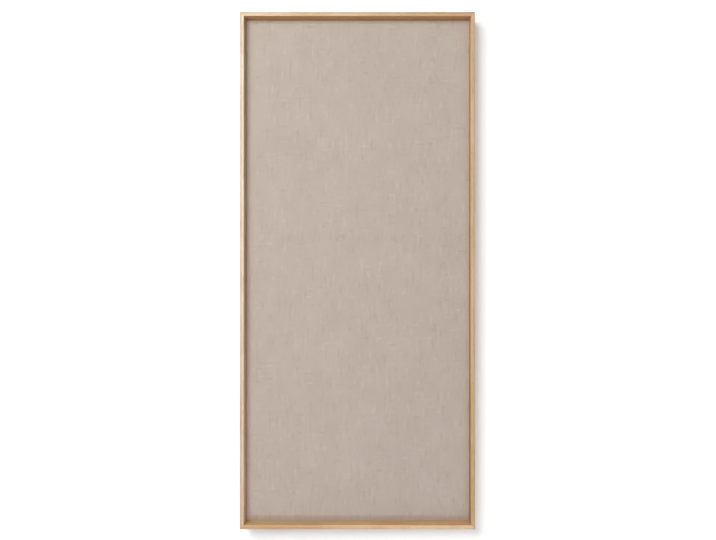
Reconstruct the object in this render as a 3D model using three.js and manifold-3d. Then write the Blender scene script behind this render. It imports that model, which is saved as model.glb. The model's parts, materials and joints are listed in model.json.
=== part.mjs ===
// A wall-hung pin board: a linen-covered soft pad, set deep in a slim frame of mitred oak.
// Millimetres, +Z up. The board faces -Y and hangs on a wall that lies in the plane Y = 0.
// The origin is the middle of the board's width and height, on the face of that wall.

import * as THREE from 'three';
import { mergeVertices } from 'three/addons/utils/BufferGeometryUtils.js';
import Module from 'manifold-3d';

// Oak frame
const outerWidth = 455;
const outerHeight = 1000;
const faceWidth = 8;
const recess = 14.5;
const frontArris = 0.6;
const backArris = 0.5;
const grooveDepth = 3.5;
const mitreGap = 0.1;

// V-shaped steel wedges, driven into the backs of the mitres
const wedgeLeg = 5;
const wedgeGauge = 0.6;
const wedgeDepth = 12;
const wedgeInset = 1.6;
const wedgeSunk = 0.2;
const wedgeFit = 0.15;

// Linen cover, turned over the edge of the pad and stapled behind it
const linenThickness = 0.6;
const linenEdgeRadius = 1.2;
const cornerEase = 0.6;
const softEdgeWidth = 14;
const softEdgeFall = 2.2;
const hemWidth = 24;
const padMargin = 0.3;
const clothGap = 0.15;

// Pin core, a board of soft wood fibre
const coreThickness = 10;

// Back panel of hardboard, held in the groove of the frame
const panelThickness = 4;
const panelFit = 0.2;
const panelMargin = 0.4;
const glueLine = 0.2;

// Staples through the hem
const stapleCrown = 9;
const stapleLeg = 6;
const stapleWidth = 0.9;
const stapleGauge = 0.5;
const stapleFit = 0.15;
const staplePoint = 0.8;
const longSideStaples = 8;
const shortSideStaples = 4;

// Strap of a hanger, one strip folded round the bar of its ring
const hangerInset = 42;
const hangerDrop = 112;
const strapWidth = 9.5;
const strapGauge = 0.8;
const strapShoulder = 4.5;
const foldGap = 0.1;
const seatGap = 0.1;
const holePitch = 9;
const holeEnd = 5.5;
const holeFit = 0.25;
const hookRoom = 0.7;

// Ring of a hanger, bent from one piece of wire
const wireDiameter = 1.6;
const ringClearance = 0.15;
const ringRestGap = 0.3;
const ringSideClearance = 0.7;
const ringDrop = 12;
const ringFootGap = 1.9;
const ringCornerRadius = 1.8;
const wireButtGap = 0.4;

// Pan-head screws of the hangers
const screwDiameter = 2.9;
const screwLength = 9.5;
const screwTip = 2.6;
const headDiameter = 5.6;
const headHeight = 1.8;
const headRim = 0.5;
const driveSpan = 3.2;
const driveWidth = 0.8;
const driveDepth = 1.1;
const pilotFit = 0.15;

// Felt pads between the frame and the wall
const feltMargin = 0.5;
const feltThickness = 1.5;
const feltBevel = 0.25;
const feltInset = 22;
const adhesive = 0.1;

// One overrun for all cuts, and how near two points are when they are the same point
const overrun = 1;
const weld = 1e-4;

// Smoothness
const arrisSegments = 4;
const edgeSegments = 5;
const softEdgeSegments = 4;
const bendSegments = 12;
const wireSteps = 56;
const wireSides = 8;
const turnedSegments = 24;

// A hanger in height: the hinge above the foot of the strap, and the strap where it is doubled
const hingeHeight = strapGauge + ringClearance + wireDiameter / 2;
const foldedGauge = 2 * strapGauge + foldGap;

// Depths, worked out from the wall to the front
const frameBack = -(feltThickness + adhesive);
const panelBack = frameBack - (seatGap + 2 * hingeHeight + hookRoom);
const panelFront = panelBack - panelThickness;
const padBack = panelFront - glueLine;
const padThickness = 2 * (linenThickness + clothGap) + coreThickness;
const linenFace = padBack - padThickness;
const frameFront = linenFace - recess;

// Widths and heights, worked out from the outside in
const openingWidth = outerWidth - 2 * faceWidth;
const openingHeight = outerHeight - 2 * faceWidth;
const padWidth = openingWidth - 2 * padMargin;
const padHeight = openingHeight - 2 * padMargin;
const panelOverlap = grooveDepth - panelMargin;
const linenCornerRadius = linenEdgeRadius + cornerEase;

// Places of the hangers and of their screws, the upper of which clears the foot of the ring
const hangerX = openingWidth / 2 - hangerInset;
const hingeZ = openingHeight / 2 - hangerDrop;
const strapBack = panelBack + seatGap;
const hingeY = strapBack + hingeHeight;
const screwSeat = strapBack + foldedGauge + seatGap;
const upperHoleDrop = ringDrop + wireDiameter / 2 + ringFootGap + headDiameter / 2;
const screwDrops = [upperHoleDrop, upperHoleDrop + holePitch];
const strapLength = upperHoleDrop + holePitch + holeEnd;

// The ring hangs from its bar and leans against the folded strap at the foot of its bow.
const ringLean = Math.asin((foldedGauge + ringRestGap + wireDiameter / 2 - hingeHeight) / ringDrop);

const wasm = await Module();
wasm.setup();

const oak = new THREE.MeshStandardMaterial({ color: 0xd7ab78, roughness: 0.55 });
const linen = new THREE.MeshStandardMaterial({ color: 0xc3b4a8, roughness: 0.95 });
const softboard = new THREE.MeshStandardMaterial({ color: 0xa98a63, roughness: 0.95 });
const hardboard = new THREE.MeshStandardMaterial({ color: 0x7c5636, roughness: 0.7 });
const zinc = new THREE.MeshStandardMaterial({ color: 0xb9bcc0, roughness: 0.35, metalness: 1 });
const felt = new THREE.MeshStandardMaterial({ color: 0xd9d4ca, roughness: 1 });

// The solid that a closed geometry bounds.
function solidOf(geometry) {
  const bare = geometry.index ? geometry.toNonIndexed() : geometry.clone();
  bare.deleteAttribute('normal');
  bare.deleteAttribute('uv');
  const merged = mergeVertices(bare, weld);
  const vertProperties = merged.attributes.position.array;
  const triVerts = new Uint32Array(merged.index.array);
  return new wasm.Manifold(new wasm.Mesh({ numProp: 3, vertProperties, triVerts }));
}

// The mesh of a solid or of a geometry, under a name and with its material.
function piece(name, form, material) {
  let geometry = form;
  if (!form.isBufferGeometry) {
    const { vertProperties, triVerts } = form.getMesh();
    geometry = new THREE.BufferGeometry();
    geometry.setAttribute('position', new THREE.BufferAttribute(vertProperties, 3));
    geometry.setIndex(new THREE.BufferAttribute(triVerts, 1));
    geometry.computeVertexNormals();
  }
  const mesh = new THREE.Mesh(geometry, material);
  mesh.name = name;
  return mesh;
}

// A block between two corners.
function block(low, high) {
  const size = high.map((value, i) => value - low[i]);
  const middle = high.map((value, i) => (value + low[i]) / 2);
  return new THREE.BoxGeometry(...size).translate(...middle);
}

// An outline drawn as X and Z, thickened from one Y to a further one.
function thickened(outline, fromY, toY, curveSegments) {
  const depth = toY - fromY;
  const geometry = new THREE.ExtrudeGeometry(outline, { depth, bevelEnabled: false, curveSegments });
  return geometry.rotateX(Math.PI / 2).translate(0, toY, 0);
}

// An outline drawn as Y and Z, drawn out to a length that is centred on X = 0.
function drawnOut(outline, length, curveSegments) {
  const options = { depth: length, bevelEnabled: false, curveSegments };
  const geometry = new THREE.ExtrudeGeometry(outline, options);
  const [x, y, z] = [[1, 0, 0], [0, 1, 0], [0, 0, 1]].map((axis) => new THREE.Vector3(...axis));
  return geometry.applyMatrix4(new THREE.Matrix4().makeBasis(y, z, x)).translate(-length / 2, 0, 0);
}

// The moulding in section, drawn as Y and Z with the outside of the frame at Z = 0.
// Its long edges are eased, and a groove for the back panel runs along its inner face.
function mouldingSection() {
  const inner = -faceWidth;
  const grooveFront = panelFront - panelFit;
  const grooveBack = panelBack + panelFit;
  const quarter = Math.PI / 2;
  const section = new THREE.Shape();
  section.moveTo(frameFront + frontArris, 0);
  section.lineTo(frameBack - backArris, 0);
  section.absarc(frameBack - backArris, -backArris, backArris, quarter, 0, true);
  section.lineTo(frameBack, inner + backArris);
  section.absarc(frameBack - backArris, inner + backArris, backArris, 0, -quarter, true);
  section.lineTo(grooveBack, inner);
  section.lineTo(grooveBack, inner + grooveDepth);
  section.lineTo(grooveFront, inner + grooveDepth);
  section.lineTo(grooveFront, inner);
  section.lineTo(frameFront + frontArris, inner);
  section.absarc(frameFront + frontArris, inner + frontArris, frontArris, -quarter, -2 * quarter, true);
  section.lineTo(frameFront, -frontArris);
  section.absarc(frameFront + frontArris, -frontArris, frontArris, 2 * quarter, quarter, true);
  return section;
}

// What is left of a member between its two mitres. Each mitre stands back by half the glue gap.
function betweenMitres(length) {
  const halfAtOutside = length / 2 - mitreGap / Math.SQRT2;
  const outside = overrun;
  const inside = -faceWidth - overrun;
  const outline = new THREE.Shape();
  outline.moveTo(-halfAtOutside - outside, outside);
  outline.lineTo(halfAtOutside + outside, outside);
  outline.lineTo(halfAtOutside + inside, inside);
  outline.lineTo(-halfAtOutside - inside, inside);
  return thickened(outline, frameFront - overrun, frameBack + overrun);
}

// A V-shaped wedge up to its back, or with a clearance the slot that it is driven into.
// Its point is at X = 0 and Z = 0 and its legs run towards -X and -Z.
function wedgeForm(clearance, back) {
  const [near, far] = [clearance, -wedgeLeg - clearance];
  const inner = -wedgeGauge - clearance;
  const outline = new THREE.Shape();
  outline.moveTo(near, near);
  outline.lineTo(far, near);
  outline.lineTo(far, inner);
  outline.lineTo(inner, inner);
  outline.lineTo(inner, far);
  outline.lineTo(near, far);
  const front = frameBack - wedgeSunk - wedgeDepth;
  return thickened(outline, front - clearance, back);
}

// One oak member, in the place of the top rail: outside at Z = 0 and centred on X = 0.
function frameMember(name, length, distance, turn) {
  let member = solidOf(drawnOut(mouldingSection(), length, arrisSegments));
  member = member.intersect(solidOf(betweenMitres(length)));
  for (const side of [-1, 1]) {
    const slot = wedgeForm(wedgeFit, frameBack + overrun).rotateY(((side - 1) * Math.PI) / 4);
    slot.translate(side * (length / 2 - wedgeInset), 0, -wedgeInset);
    member = member.subtract(solidOf(slot));
  }
  const mesh = piece(name, member, oak);
  mesh.rotation.y = turn;
  mesh.position.set(Math.sin(turn) * distance, 0, Math.cos(turn) * distance);
  return mesh;
}

function oakFrame() {
  const frame = new THREE.Group();
  frame.add(frameMember('top_rail', outerWidth, outerHeight / 2, 0));
  frame.add(frameMember('right_stile', outerHeight, outerWidth / 2, Math.PI / 2));
  frame.add(frameMember('bottom_rail', outerWidth, outerHeight / 2, Math.PI));
  frame.add(frameMember('left_stile', outerHeight, outerWidth / 2, -Math.PI / 2));
  return frame;
}

// The four corners, as the signs of X and Z, with the turn that brings a top right corner there.
const corners = [
  { name: 'top_right', x: 1, z: 1, turn: 0 },
  { name: 'bottom_right', x: 1, z: -1, turn: Math.PI / 2 },
  { name: 'bottom_left', x: -1, z: -1, turn: Math.PI },
  { name: 'top_left', x: -1, z: 1, turn: -Math.PI / 2 },
];

function mitreWedges() {
  const wedges = new THREE.Group();
  for (const corner of corners) {
    const form = wedgeForm(0, frameBack - wedgeSunk);
    const wedge = piece(`mitre_wedge_${corner.name}`, form, zinc);
    wedge.rotation.y = corner.turn;
    wedge.position.x = corner.x * (outerWidth / 2 - wedgeInset);
    wedge.position.z = corner.z * (outerHeight / 2 - wedgeInset);
    wedges.add(wedge);
  }
  return wedges;
}

// The edge of a padded slab in section, as steps of an inset and a Y. From the back it runs up the
// side and round the front edge, and then over the soft edge to the level of the front.
function paddedEdge(front, back, edgeRadius, softWidth) {
  const fallAt = (inset) => softEdgeFall * (1 - inset / softWidth) ** 2;
  const arcFoot = front + fallAt(edgeRadius) + edgeRadius;
  const steps = [[0, back]];
  for (let i = 0; i <= edgeSegments; i += 1) {
    const angle = (i / edgeSegments) * (Math.PI / 2);
    steps.push([edgeRadius * (1 - Math.cos(angle)), arcFoot - edgeRadius * Math.sin(angle)]);
  }
  for (let i = 1; i <= softEdgeSegments; i += 1) {
    const inset = edgeRadius + (i / softEdgeSegments) * (softWidth - edgeRadius);
    steps.push([inset, front + fallAt(inset)]);
  }
  return steps;
}

// A slab from one Y to a further one, with rounded corners and a padded edge all round its front.
function paddedSlab(width, height, front, back, edgeRadius, cornerRadius, softWidth) {
  const points = [];
  for (const [inset, y] of paddedEdge(front, back, edgeRadius, softWidth)) {
    const radius = Math.max(cornerRadius - inset, 0);
    const centreX = width / 2 - inset - radius;
    const centreZ = height / 2 - inset - radius;
    for (let i = 0; i <= edgeSegments; i += 1) {
      const angle = (i / edgeSegments) * (Math.PI / 2);
      const x = centreX + radius * Math.cos(angle);
      const z = centreZ + radius * Math.sin(angle);
      points.push([x, y, z], [-x, y, z], [-x, y, -z], [x, y, -z]);
    }
  }
  return wasm.Manifold.hull(points);
}

// The room inside the cover, or with a clearance the core that fills it.
function insideCover(clearance) {
  const wall = linenThickness + clearance;
  return paddedSlab(
    padWidth - 2 * wall,
    padHeight - 2 * wall,
    linenFace + wall,
    padBack - wall,
    linenEdgeRadius - wall,
    linenCornerRadius - wall,
    softEdgeWidth - wall,
  );
}

// A staple, or with a clearance the holes for one, with its crown along X and its legs towards -Y.
// It is drawn with the back of its crown at Y = 0 and is filed to a point at each leg.
function stapleForm(clearance) {
  const outside = stapleCrown / 2 + clearance;
  const inside = outside - stapleGauge - 2 * clearance;
  const crown = stapleGauge + clearance;
  const leg = stapleLeg + clearance;
  const outline = new THREE.Shape();
  outline.moveTo(-outside, 0);
  outline.lineTo(-outside, -leg);
  outline.lineTo(-inside, -leg + staplePoint);
  outline.lineTo(-inside, -crown);
  outline.lineTo(inside, -crown);
  outline.lineTo(inside, -leg + staplePoint);
  outline.lineTo(outside, -leg);
  outline.lineTo(outside, 0);
  const depth = stapleWidth + 2 * clearance;
  return new THREE.ExtrudeGeometry(outline, { depth, bevelEnabled: false }).translate(0, 0, -depth / 2);
}

// Where the staples are: evenly spaced along the middle of the hem, crowns along the edge.
function staplePlaces() {
  const places = [];
  const [x, z] = [(padWidth - hemWidth) / 2, (padHeight - hemWidth) / 2];
  const spread = (index, count, span) => ((index + 0.5) / count - 0.5) * span;
  for (let i = 0; i < longSideStaples; i += 1) {
    const height = spread(i, longSideStaples, padHeight);
    places.push({ name: `staple_left_${i + 1}`, x: -x, z: height, turn: Math.PI / 2 });
    places.push({ name: `staple_right_${i + 1}`, x, z: height, turn: Math.PI / 2 });
  }
  for (let i = 0; i < shortSideStaples; i += 1) {
    const across = spread(i, shortSideStaples, padWidth);
    places.push({ name: `staple_top_${i + 1}`, x: across, z, turn: 0 });
    places.push({ name: `staple_bottom_${i + 1}`, x: across, z: -z, turn: 0 });
  }
  return places;
}

function withoutStapleHoles(solid) {
  let drilled = solid;
  for (const place of staplePlaces()) {
    const hole = stapleForm(stapleFit).rotateY(place.turn);
    hole.translate(place.x, padBack, place.z);
    drilled = drilled.subtract(solidOf(hole));
  }
  return drilled;
}

function staples() {
  const row = new THREE.Group();
  for (const place of staplePlaces()) {
    const staple = piece(place.name, stapleForm(0), zinc);
    staple.rotation.y = place.turn;
    staple.position.set(place.x, padBack, place.z);
    row.add(staple);
  }
  return row;
}

// The cloth over the front and edges of the core, with its hem turned in all round behind it.
function linenCover() {
  const [halfWidth, halfHeight] = [padWidth / 2 - hemWidth, padHeight / 2 - hemWidth];
  const betweenHems = block(
    [-halfWidth, padBack - padThickness / 2, -halfHeight],
    [halfWidth, padBack + overrun, halfHeight],
  );
  const radii = [linenEdgeRadius, linenCornerRadius];
  const outside = paddedSlab(padWidth, padHeight, linenFace, padBack, ...radii, softEdgeWidth);
  const cloth = outside.subtract(insideCover(0)).subtract(solidOf(betweenHems));
  return piece('linen_cover', withoutStapleHoles(cloth), linen);
}

// The pilot hole of every hanger screw, from behind the strap to just past the screw's tip.
function screwHoles() {
  const radius = screwDiameter / 2 + pilotFit;
  const length = screwLength + pilotFit;
  const holes = [];
  for (const side of [-1, 1]) {
    for (const drop of screwDrops) {
      const hole = new THREE.CylinderGeometry(radius, radius, length, turnedSegments);
      holes.push(solidOf(hole.translate(side * hangerX, screwSeat - length / 2, hingeZ - drop)));
    }
  }
  return holes;
}

function withoutScrewHoles(solid) {
  return screwHoles().reduce((drilled, hole) => drilled.subtract(hole), solid);
}

function pinCore() {
  return piece('pin_core', withoutScrewHoles(withoutStapleHoles(insideCover(clothGap))), softboard);
}

function backPanel() {
  const [halfWidth, halfHeight] = [openingWidth / 2 + panelOverlap, openingHeight / 2 + panelOverlap];
  const board = block([-halfWidth, panelFront, -halfHeight], [halfWidth, panelBack, halfHeight]);
  return piece('back_panel', withoutScrewHoles(solidOf(board)), hardboard);
}

// The folded strip in section, drawn as Y and Z: the hinge is at Z = 0 and the panel at Y = 0.
// The strip runs up the panel, round the bar of the ring and back down on itself.
function strapSection() {
  const inside = hingeHeight - strapGauge;
  const upper = strapGauge + foldGap;
  const section = new THREE.Shape();
  section.moveTo(0, -strapLength);
  section.lineTo(0, 0);
  section.absarc(hingeHeight, 0, hingeHeight, Math.PI, 0, true);
  section.lineTo(foldedGauge, -strapShoulder);
  section.lineTo(foldedGauge, -strapLength);
  section.lineTo(upper, -strapLength);
  section.lineTo(upper, -strapShoulder);
  section.lineTo(hingeHeight + inside, 0);
  section.absarc(hingeHeight, 0, inside, 0, Math.PI, false);
  section.lineTo(strapGauge, -strapLength);
  return section;
}

// The strap seen from behind: square at the fold, round at the other end, with two screw holes.
function strapOutline() {
  const half = strapWidth / 2;
  const outline = new THREE.Shape();
  outline.moveTo(-half, 2 * hingeHeight);
  outline.lineTo(-half, half - strapLength);
  outline.absarc(0, half - strapLength, half, Math.PI, 2 * Math.PI, false);
  outline.lineTo(half, 2 * hingeHeight);
  const holeRadius = screwDiameter / 2 + holeFit;
  for (const drop of screwDrops) {
    outline.holes.push(new THREE.Path().absarc(0, -drop, holeRadius, 0, 2 * Math.PI, true));
  }
  return outline;
}

function hangerStrap(name) {
  const folded = solidOf(drawnOut(strapSection(), strapWidth, bendSegments));
  const top = 2 * hingeHeight + overrun;
  const blank = solidOf(thickened(strapOutline(), -overrun, top, bendSegments));
  return piece(name, folded.intersect(blank), zinc);
}

// The line that the ring's wire follows, as X and Z round the hinge: a D that hangs from its bar,
// with the two ends of the wire meeting in the fold of the strap.
function ringLine() {
  const half = (strapWidth + wireDiameter) / 2 + ringSideClearance;
  const corner = ringCornerRadius;
  const bowCentre = half - ringDrop;
  const line = new THREE.Path();
  line.moveTo(wireButtGap / 2, 0);
  line.lineTo(half - corner, 0);
  line.absarc(half - corner, -corner, corner, Math.PI / 2, 0, true);
  line.lineTo(half, bowCentre);
  line.absarc(0, bowCentre, half, 0, -Math.PI, true);
  line.lineTo(-half, -corner);
  line.absarc(corner - half, -corner, corner, Math.PI, Math.PI / 2, true);
  line.lineTo(-wireButtGap / 2, 0);
  return line;
}

class WireCurve extends THREE.Curve {
  constructor(line) {
    super();
    this.line = line;
  }

  getPoint(share) {
    const { x, y } = this.line.getPointAt(share);
    return new THREE.Vector3(x, 0, y);
  }
}

function hangerRing(name) {
  const section = new THREE.Shape().absarc(0, 0, wireDiameter / 2, 0, 2 * Math.PI, false);
  const extrudePath = new WireCurve(ringLine());
  const options = { extrudePath, steps: wireSteps, curveSegments: wireSides, bevelEnabled: false };
  return piece(name, new THREE.ExtrudeGeometry(section, options), zinc);
}

// A screw along Y: the underside of its head at Y = 0, its head towards +Y and its point towards -Y.
function panHeadScrew(name) {
  const [shank, head] = [screwDiameter / 2, headDiameter / 2];
  const dome = [];
  for (let i = 1; i < edgeSegments; i += 1) {
    const angle = (i / edgeSegments) * (Math.PI / 2);
    const rise = (headHeight - headRim) * Math.sin(angle);
    dome.push(new THREE.Vector2(head * Math.cos(angle), headRim + rise));
  }
  const profile = [
    new THREE.Vector2(0, -screwLength),
    new THREE.Vector2(shank, screwTip - screwLength),
    new THREE.Vector2(shank, 0),
    new THREE.Vector2(head, 0),
    new THREE.Vector2(head, headRim),
    ...dome,
    new THREE.Vector2(0, headHeight),
  ];
  let screw = solidOf(new THREE.LatheGeometry(profile, turnedSegments));
  const [reach, half] = [driveSpan / 2, driveWidth / 2];
  const [floor, top] = [headHeight - driveDepth, headHeight + overrun];
  screw = screw.subtract(solidOf(block([-reach, floor, -half], [reach, top, half])));
  screw = screw.subtract(solidOf(block([-half, floor, -reach], [half, top, reach])));
  return piece(name, screw, zinc);
}

function hanger(side, label) {
  const fittings = new THREE.Group();
  const strap = hangerStrap(`hanger_strap_${label}`);
  strap.position.set(side * hangerX, strapBack, hingeZ);
  const ring = hangerRing(`hanger_ring_${label}`);
  ring.position.set(side * hangerX, hingeY, hingeZ);
  ring.rotation.x = ringLean;
  fittings.add(strap, ring);
  for (const [i, place] of ['upper', 'lower'].entries()) {
    const screw = panHeadScrew(`hanger_screw_${label}_${place}`);
    screw.position.set(side * hangerX, screwSeat, hingeZ - screwDrops[i]);
    fittings.add(screw);
  }
  return fittings;
}

// Felt pads on the backs of the stiles, near the corners. They alone touch the wall.
function feltPads() {
  const pads = new THREE.Group();
  const radius = faceWidth / 2 - feltMargin;
  const profile = [
    new THREE.Vector2(0, -feltThickness),
    new THREE.Vector2(radius, -feltThickness),
    new THREE.Vector2(radius, -feltBevel),
    new THREE.Vector2(radius - feltBevel, 0),
    new THREE.Vector2(0, 0),
  ];
  for (const corner of corners) {
    const disc = new THREE.LatheGeometry(profile, turnedSegments);
    const pad = piece(`felt_pad_${corner.name}`, disc, felt);
    pad.position.x = (corner.x * (outerWidth - faceWidth)) / 2;
    pad.position.z = corner.z * (outerHeight / 2 - feltInset);
    pads.add(pad);
  }
  return pads;
}

const pinBoard = new THREE.Group();
pinBoard.add(oakFrame(), mitreWedges());
pinBoard.add(linenCover(), pinCore(), staples(), backPanel());
pinBoard.add(hanger(-1, 'left'), hanger(1, 'right'), feltPads());

export default pinBoard;
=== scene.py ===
"""A wall-hung pin board: a linen-covered pad deep in a slim oak frame, with D-ring hangers behind.

Laid out as an add-on. The sizes and colours that a user would change are properties, and each
piece or group of like pieces has its operator. All lengths are metres, +Z is up, and the linen
faces -Y. The wall is the plane Y = 0.
"""

import json
import math

import bmesh
import bpy
import numpy as np
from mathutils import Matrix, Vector, noise

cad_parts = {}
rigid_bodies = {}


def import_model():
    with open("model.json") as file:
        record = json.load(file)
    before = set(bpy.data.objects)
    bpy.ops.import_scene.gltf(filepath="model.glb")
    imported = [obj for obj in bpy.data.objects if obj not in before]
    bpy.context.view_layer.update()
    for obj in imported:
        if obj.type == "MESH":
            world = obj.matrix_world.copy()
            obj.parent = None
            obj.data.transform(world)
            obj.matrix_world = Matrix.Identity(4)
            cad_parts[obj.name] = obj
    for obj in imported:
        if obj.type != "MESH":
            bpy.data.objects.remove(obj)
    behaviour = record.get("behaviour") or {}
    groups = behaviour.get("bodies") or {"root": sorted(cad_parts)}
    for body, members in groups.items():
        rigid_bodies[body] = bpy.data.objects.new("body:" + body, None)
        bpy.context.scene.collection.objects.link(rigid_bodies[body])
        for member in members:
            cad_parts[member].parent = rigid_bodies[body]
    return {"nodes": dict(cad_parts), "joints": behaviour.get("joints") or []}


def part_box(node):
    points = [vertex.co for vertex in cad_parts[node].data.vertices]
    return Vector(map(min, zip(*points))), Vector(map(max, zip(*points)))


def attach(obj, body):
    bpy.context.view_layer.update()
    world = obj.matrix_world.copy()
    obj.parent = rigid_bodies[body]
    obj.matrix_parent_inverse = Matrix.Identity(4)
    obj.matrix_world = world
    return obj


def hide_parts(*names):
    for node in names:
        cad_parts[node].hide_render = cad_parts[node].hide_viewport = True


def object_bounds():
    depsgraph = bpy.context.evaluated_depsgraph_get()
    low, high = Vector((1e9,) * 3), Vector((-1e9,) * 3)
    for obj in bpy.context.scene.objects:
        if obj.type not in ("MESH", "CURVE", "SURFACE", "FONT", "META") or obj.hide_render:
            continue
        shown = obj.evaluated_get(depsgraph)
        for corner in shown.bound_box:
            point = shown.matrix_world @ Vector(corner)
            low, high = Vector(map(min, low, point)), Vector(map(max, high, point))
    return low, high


bl_info = {
    "name": "Pin board",
    "version": (1, 0, 0),
    "blender": (4, 5, 0),
    "location": "3D View > Sidebar > Pin board",
    "description": "Dresses a linen pin board in an oak frame",
    "category": "Object",
}

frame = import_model()
CAD_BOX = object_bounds()

MEMBERS = ("top_rail", "right_stile", "bottom_rail", "left_stile")
SIDES = ("left", "right")

# The photograph, in pixels: its size, the board's edges, and the point that the camera faces.
PHOTO_WIDTH_PX = 716
PHOTO_HEIGHT_PX = 540
BOARD_LEFT_PX = 239.65
BOARD_RIGHT_PX = 475.15
BOARD_TOP_PX = 12.0
BOARD_BOTTOM_PX = 529.2
FACED_X_PX = 377.0
FACED_Y_PX = 262.0

DISPLAY_GAMMA = 2.2
MM_PER_M = 1000


def length(name, description, default, **limits):
    """A property that holds a length in metres."""
    return bpy.props.FloatProperty(
        name=name, description=description, default=default, unit="LENGTH", precision=5, **limits
    )


def colour(name, description, default):
    """A property that holds a colour, written as the eye sees it, from 0 to 255."""
    return bpy.props.FloatVectorProperty(
        name=name,
        description=description,
        default=[(value / 255) ** DISPLAY_GAMMA for value in default],
        subtype="COLOR",
        min=0,
        max=1,
    )


def factor(name, description, default, top=1.0):
    """A property that holds a plain number from 0."""
    return bpy.props.FloatProperty(
        name=name, description=description, default=default, min=0, max=top, subtype="FACTOR"
    )


class OakSettings(bpy.types.PropertyGroup):
    """The oak of the frame."""

    pale: colour("Pale", "Earlywood between the rings", (240, 213, 178))
    deep: colour("Deep", "Latewood of the rings", (214, 172, 124))
    pore: colour("Pores", "Open pores that run with the grain", (150, 108, 68))
    ring_width: length("Ring width", "How far apart the growth rings lie", 0.0034)
    pore_length: length("Pore length", "How long the longest pores are", 0.008)
    wear_width: length("Wear width", "How far the wear of an edge reaches", 0.0009)
    # The rim is a darker band painted towards each member's outer edge, stronger on the left and
    # top members.
    rim_width: length("Rim width", "Where the finish darkens towards the outer edge", 0.0055)
    relief: length("Relief", "Depth of the open grain", 0.00012)


class LinenSettings(bpy.types.PropertyGroup):
    """The linen cover."""

    pale: colour("Pale", "The palest threads", (209, 195, 184))
    deep: colour("Deep", "The darkest threads", (178, 163, 151))
    nep: colour("Neps", "Small dark knots", (112, 92, 74))
    thickness: length("Thickness", "How thick the cloth is", 0.0006)
    thread_pitch: length("Thread pitch", "From one thread to the next", 0.00075)
    slub_width: length("Slub width", "Width of a slub, a thick stretch of thread", 0.0025)
    slub_length: length("Slub length", "Length of a slub", 0.013)
    nep_spacing: length("Nep spacing", "How far apart the neps lie", 0.09)
    nep_radius: length("Nep radius", "Radius of a nep", 0.0009)
    relief: length("Relief", "Depth of the weave", 0.00018)
    edge_radius: length("Edge radius", "Rounding of the pad's front edge", 0.0012)
    corner_radius: length("Corner radius", "Rounding of the pad's corners", 0.0018)
    soft_edge: length("Soft edge", "Width over which the pad falls away to its edge", 0.014)
    soft_fall: length("Soft fall", "How far the pad falls away at its edge", 0.0022)
    foot_fall: length("Foot fall", "How much rounder the pad looks at the bottom rail", 0.0024)
    back_radius: length("Back radius", "Rounding of the cloth behind the pad", 0.0009)
    hem: length("Hem", "How far the cloth is turned in behind the pad", 0.024)
    slack: length("Slack", "How far the cloth lifts from flat", 0.00012)
    cell: length("Cell", "Spacing of the mesh over the open cloth", 0.004)


class HangerSettings(bpy.types.PropertyGroup):
    """The D-ring hangers behind the board."""

    wire: length("Wire", "Diameter of the ring's wire", 0.0016)
    half_width: length("Half width", "From the ring's middle to its wire's middle", 0.00625)
    drop: length("Drop", "From the bar to the foot of the bow", 0.012)
    corner: length("Corner", "Radius of the ring's upper corners", 0.0018)
    butt_gap: length("Butt gap", "Between the two ends of the wire", 0.0004)
    lean: bpy.props.FloatProperty(
        name="Lean",
        description="How far the ring leans out at rest",
        default=math.radians(5.0214),
        subtype="ANGLE",
    )
    soft_edge: length("Soft edge", "Rounding of the edges of straps and screws", 0.00012)


class StageSettings(bpy.types.PropertyGroup):
    """The wall, the floor, the lamps and the camera."""

    distance: length("Distance", "From the camera to the frame's front", 1.006)
    sensor: length("Sensor", "Width of the camera's sensor", 0.036)
    reach: length("Reach", "How far the wall and the floor reach", 4)
    floor_drop: length("Floor drop", "How far the floor lies below the board", 0.9)
    wall_gap: length("Wall gap", "How far the wall stands behind the felt pads", 0.0004)
    key: factor("Key", "Level of the soft lamp in front. 1 shows colours as written", 0.825, top=2)
    wash: factor("Wash", "Level of the lamp that lights the wall alone", 1.12, top=2)
    fill: factor("Fill", "Level of the weak lamp that thins the wall's shadow", 0.045, top=2)
    back: factor("Back", "Level of the lamp behind the wall", 0.58, top=2)
    ambient: factor("Ambient", "Level of the light from all round", 0.28, top=2)
    glow: factor("Glow", "Share of the near wall that is white by itself", 0.22)
    plain_from: length("Plain from", "Where the wall turns plain, from the board's middle", 0.65)
    plain_at: length("Plain at", "Where it is all plain, from the board's middle", 1.3)
    floor_glow: factor("Floor glow", "Share of the floor that is white by itself", 0.86)


class PinBoardSettings(bpy.types.PropertyGroup):
    """All the settings."""

    oak: bpy.props.PointerProperty(type=OakSettings)
    linen: bpy.props.PointerProperty(type=LinenSettings)
    hanger: bpy.props.PointerProperty(type=HangerSettings)
    stage: bpy.props.PointerProperty(type=StageSettings)


def settings():
    """The sizes and colours that are in use."""
    return bpy.context.scene.pin_board


# Shader nodes

NUMBER = "NodeSocketFloat"
COLOUR = "NodeSocketColor"
VECTOR = "NodeSocketVector"

# Nearly all values of smooth noise lie between these two.
USUAL_NOISE = (0.3, 0.7)


def fill_in(tree, node, sockets):
    """Sets or links the sockets of a shader node."""
    for name, value in sockets.items():
        if isinstance(value, bpy.types.NodeSocket):
            tree.links.new(value, node.inputs[name])
        else:
            node.inputs[name].default_value = value


def put(tree, kind, sockets=None, **values):
    """A new shader node with its values set and its sockets filled in."""
    made = tree.nodes.new(kind)
    for name, value in values.items():
        setattr(made, name, value)
    fill_in(tree, made, sockets or {})
    return made


def maths(tree, operation, *terms):
    """The result of one sum on numbers or sockets."""
    sockets = dict(enumerate(terms))
    return put(tree, "ShaderNodeMath", sockets, operation=operation).outputs[0]


def times(tree, first, second):
    """The product of two numbers or sockets."""
    return maths(tree, "MULTIPLY", first, second)


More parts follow.
